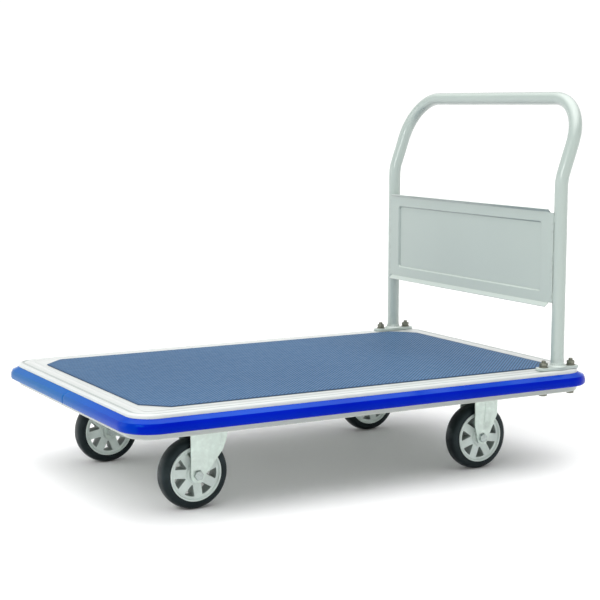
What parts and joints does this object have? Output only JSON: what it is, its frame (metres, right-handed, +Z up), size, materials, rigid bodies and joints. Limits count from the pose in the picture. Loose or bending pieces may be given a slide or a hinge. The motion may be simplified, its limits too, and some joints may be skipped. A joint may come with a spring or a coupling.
{
  "type": "platform trolley",
  "caption": "Flat platform trolley: white pressed deck with blue mat and edge bumper, bolted grey tube handle with sheet panel, swivel castors in front and rigid ones behind.",
  "frame": {"origin": "on the floor, under the middle of the whole object's box seen from above", "axes": "+X along the deck towards the handle end, +Y across the deck, +Z up"},
  "size_m": [1.1506, 0.7586, 0.8582],
  "materials": {
    "deck_paint": "off-white gloss powder coat with light handling marks",
    "handle_paint": "pale grey-green semi-gloss powder coat",
    "mat_vinyl": "matt blue vinyl with a fine diamond emboss",
    "bumper_vinyl": "glossy deep blue vinyl",
    "castor_zinc": "bright zinc plate, slightly mottled",
    "bolt_zinc": "dull yellowish zinc plate",
    "tyre_rubber": "black solid rubber, satin",
    "wheel_plastic": "light grey moulded nylon, satin"
  },
  "bodies": {
    "platform": {"deck_plate": "deck_paint", "deck_mat": "mat_vinyl", "edge_bumper": "bumper_vinyl", "side_beam_near": "deck_paint", "side_beam_far": "deck_paint", "front_cross_beam": "deck_paint", "middle_cross_beam": "deck_paint", "handle_cross_beam": "deck_paint", "handle_tube": "handle_paint", "handle_panel": "handle_paint", "handle_flange_near": "handle_paint", "handle_flange_far": "handle_paint", "handle_bolt_near_front": "bolt_zinc", "handle_bolt_near_rear": "bolt_zinc", "handle_bolt_far_front": "bolt_zinc", "handle_bolt_far_rear": "bolt_zinc", "handle_nut_near_front": "bolt_zinc", "handle_nut_near_rear": "bolt_zinc", "handle_nut_far_front": "bolt_zinc", "handle_nut_far_rear": "bolt_zinc", "rigid_bracket_near": "castor_zinc", "swivel_plate_near": "castor_zinc", "kingpin_near": "bolt_zinc", "axle_bolt_rear_near": "bolt_zinc", "axle_nut_rear_near": "bolt_zinc", "rigid_bracket_far": "castor_zinc", "swivel_plate_far": "castor_zinc", "kingpin_far": "bolt_zinc", "axle_bolt_rear_far": "bolt_zinc", "axle_nut_rear_far": "bolt_zinc"},
    "swivel_near": {"swivel_fork_near": "castor_zinc", "ball_race_near": "bolt_zinc", "axle_bolt_front_near": "bolt_zinc", "axle_nut_front_near": "bolt_zinc"},
    "wheel_front_near": {"tyre_front_near": "tyre_rubber", "wheel_centre_front_near": "wheel_plastic", "wheel_sleeve_front_near": "bolt_zinc"},
    "wheel_rear_near": {"tyre_rear_near": "tyre_rubber", "wheel_centre_rear_near": "wheel_plastic", "wheel_sleeve_rear_near": "bolt_zinc"},
    "swivel_far": {"swivel_fork_far": "castor_zinc", "ball_race_far": "bolt_zinc", "axle_bolt_front_far": "bolt_zinc", "axle_nut_front_far": "bolt_zinc"},
    "wheel_front_far": {"tyre_front_far": "tyre_rubber", "wheel_centre_front_far": "wheel_plastic", "wheel_sleeve_front_far": "bolt_zinc"},
    "wheel_rear_far": {"tyre_rear_far": "tyre_rubber", "wheel_centre_rear_far": "wheel_plastic", "wheel_sleeve_rear_far": "bolt_zinc"}
  },
  "joints": [
    {"name": "swivel_near", "type": "hinge", "parent": "platform", "child": "swivel_near", "pos_m": [-0.345, -0.233, 0.1715], "axis": [0, 0, 1], "continuous": true},
    {"name": "spin_front_near", "type": "hinge", "parent": "swivel_near", "child": "wheel_front_near", "pos_m": [-0.3775, -0.233, 0.075], "axis": [0, 1, 0], "continuous": true},
    {"name": "spin_rear_near", "type": "hinge", "parent": "platform", "child": "wheel_rear_near", "pos_m": [0.3396, -0.233, 0.075], "axis": [0, 1, 0], "continuous": true},
    {"name": "swivel_far", "type": "hinge", "parent": "platform", "child": "swivel_far", "pos_m": [-0.345, 0.233, 0.1715], "axis": [0, 0, 1], "continuous": true},
    {"name": "spin_front_far", "type": "hinge", "parent": "swivel_far", "child": "wheel_front_far", "pos_m": [-0.3775, 0.233, 0.075], "axis": [0, 1, 0], "continuous": true},
    {"name": "spin_rear_far", "type": "hinge", "parent": "platform", "child": "wheel_rear_far", "pos_m": [0.3396, 0.233, 0.075], "axis": [0, 1, 0], "continuous": true}
  ]
}
